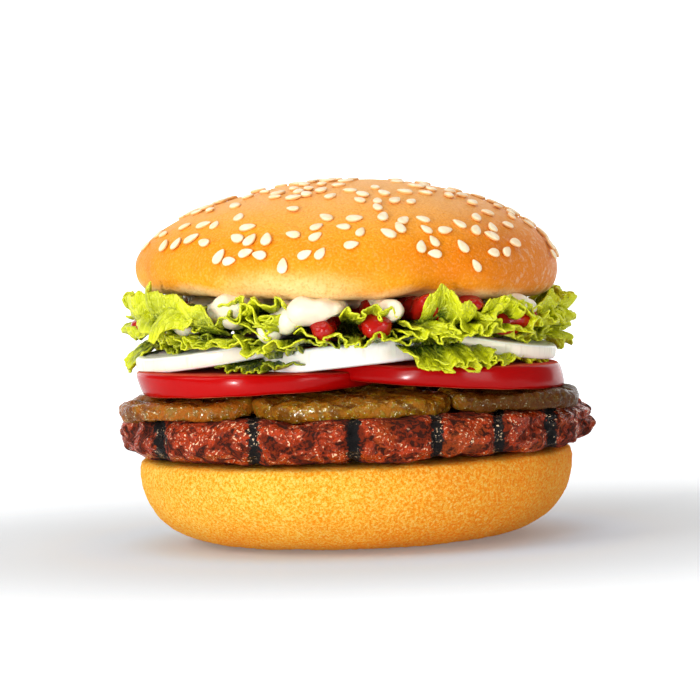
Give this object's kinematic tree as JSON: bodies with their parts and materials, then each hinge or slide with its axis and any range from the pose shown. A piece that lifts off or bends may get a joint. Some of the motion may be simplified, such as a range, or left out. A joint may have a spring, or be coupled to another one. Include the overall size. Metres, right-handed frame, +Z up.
{
  "type": "sesame seed burger",
  "caption": "Grilled burger in a seeded bun, with pickle, tomato and onion slices, curly lettuce, ketchup and mayonnaise between the layers.",
  "frame": {"origin": "centre of the flat spot that the lower bun rests on", "axes": "+Z up through the stack, +X to the right, the shown front faces -Y"},
  "size_m": [0.1105, 0.1084, 0.0829],
  "materials": {
    "bun": "baked crust, golden and softly sheened, with pale seeds on top",
    "patty": "seared meat, red-brown and moist, with black grill marks",
    "pickle": "wet olive green gherkin",
    "tomato": "smooth red skin with a moist cut face",
    "onion": "moist white rings",
    "lettuce": "fresh yellow-green leaf with a soft sheen",
    "ketchup": "glossy deep red sauce",
    "mayonnaise": "glossy cream white sauce"
  },
  "bodies": {
    "root": {"bun_heel": "bun", "bun_crown": "bun", "beef_patty": "patty", "pickle_front_centre": "pickle", "pickle_front_left": "pickle", "pickle_front_right": "pickle", "pickle_back_right": "pickle", "pickle_back_centre": "pickle", "pickle_back_left": "pickle", "tomato_left": "tomato", "tomato_right": "tomato", "tomato_back": "tomato", "onion_centre": "onion", "onion_left": "onion", "onion_right": "onion", "onion_back": "onion", "lettuce_low_left": "lettuce", "lettuce_low_front_left": "lettuce", "lettuce_fold_front_left": "lettuce", "lettuce_low_front": "lettuce", "lettuce_low_front_right": "lettuce", "lettuce_low_right": "lettuce", "lettuce_low_right_end": "lettuce", "lettuce_low_back_right": "lettuce", "lettuce_low_back_left": "lettuce", "lettuce_high_left": "lettuce", "lettuce_high_front_left": "lettuce", "lettuce_high_front": "lettuce", "lettuce_high_front_right": "lettuce", "lettuce_high_right": "lettuce", "lettuce_high_back": "lettuce", "ketchup": "ketchup", "mayonnaise": "mayonnaise"}
  },
  "joints": []
}
